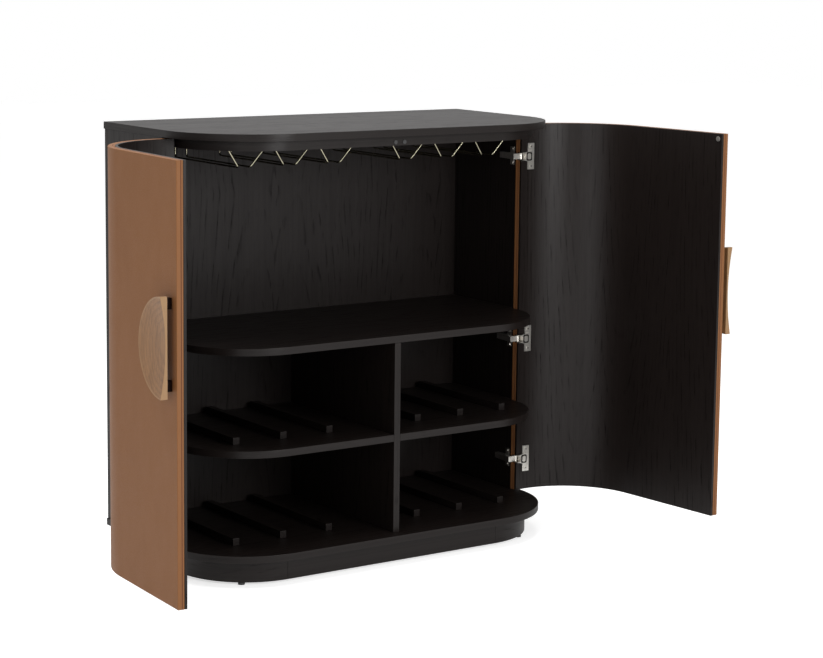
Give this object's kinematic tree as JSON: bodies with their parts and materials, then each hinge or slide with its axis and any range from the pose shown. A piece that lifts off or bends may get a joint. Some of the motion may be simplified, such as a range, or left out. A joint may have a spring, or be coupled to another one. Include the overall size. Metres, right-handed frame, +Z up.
{
  "type": "curved two door bar cabinet",
  "caption": "Freestanding bar cabinet with rounded front corners, curved leather-covered doors with half-round pulls, bottle rails, shelves, a divider and hanging stemware racks.",
  "frame": {"origin": "on the floor under the centre of the bounding box of the cabinet with its doors open", "axes": "+X to the viewer's right along the width, +Y to the back, +Z up; the front faces -Y"},
  "size_m": [1.5308, 0.763, 1.008],
  "materials": {
    "stained_oak": "dark stained oak veneer with open vertical grain, satin",
    "leather": "warm tan full grain leather, low sheen",
    "light_oak": "light oak, carved, satin lacquer",
    "brass": "bright pale brass wire",
    "nickel": "nickel plated steel",
    "spacer": "dark stained wood block",
    "foot": "black plastic"
  },
  "bodies": {
    "cabinet": {"top_panel": "stained_oak", "sub_top_panel": "stained_oak", "side_panel_left": "stained_oak", "side_panel_right": "stained_oak", "back_panel": "stained_oak", "middle_shelf": "stained_oak", "centre_divider": "stained_oak", "lower_shelf_left": "stained_oak", "lower_shelf_right": "stained_oak", "base_panel": "stained_oak", "plinth_front": "stained_oak", "plinth_back": "stained_oak", "plinth_side_left": "stained_oak", "plinth_side_right": "stained_oak", "foot_front_left": "foot", "foot_front_right": "foot", "foot_rear_left": "foot", "foot_rear_right": "foot", "bottle_rail_base_left_1": "stained_oak", "bottle_rail_base_left_2": "stained_oak", "bottle_rail_base_left_3": "stained_oak", "bottle_rail_base_right_1": "stained_oak", "bottle_rail_base_right_2": "stained_oak", "bottle_rail_base_right_3": "stained_oak", "bottle_rail_shelf_left_1": "stained_oak", "bottle_rail_shelf_left_2": "stained_oak", "bottle_rail_shelf_left_3": "stained_oak", "bottle_rail_shelf_right_1": "stained_oak", "bottle_rail_shelf_right_2": "stained_oak", "bottle_rail_shelf_right_3": "stained_oak", "stemware_rack_left": "brass", "stemware_rack_right": "brass", "catch_magnet_left": "foot", "catch_magnet_right": "foot", "hinge_arm_top_left": "nickel", "hinge_arm_middle_left": "nickel", "hinge_arm_bottom_left": "nickel", "hinge_arm_top_right": "nickel", "hinge_arm_middle_right": "nickel", "hinge_arm_bottom_right": "nickel"},
    "door_left": {"door_panel_left": "stained_oak", "door_leather_left": "leather", "handle_left": "light_oak", "handle_spacer_upper_left": "spacer", "handle_spacer_lower_left": "spacer", "hinge_cup_top_left": "nickel", "hinge_cup_middle_left": "nickel", "hinge_cup_bottom_left": "nickel", "catch_strike_left": "nickel"},
    "door_right": {"door_panel_right": "stained_oak", "door_leather_right": "leather", "handle_right": "light_oak", "handle_spacer_upper_right": "spacer", "handle_spacer_lower_right": "spacer", "hinge_cup_top_right": "nickel", "hinge_cup_middle_right": "nickel", "hinge_cup_bottom_right": "nickel", "catch_strike_right": "nickel"}
  },
  "joints": [
    {"name": "door_left_hinge", "type": "hinge", "parent": "cabinet", "child": "door_left", "pos_m": [-0.49173, 0.09254, 0.533], "axis": [0, 0, -1], "range_deg": [-93.3, 11.1]},
    {"name": "door_right_hinge", "type": "hinge", "parent": "cabinet", "child": "door_right", "pos_m": [0.48207, 0.09254, 0.533], "axis": [0, 0, 1], "range_deg": [-94.5, 9.9]}
  ]
}
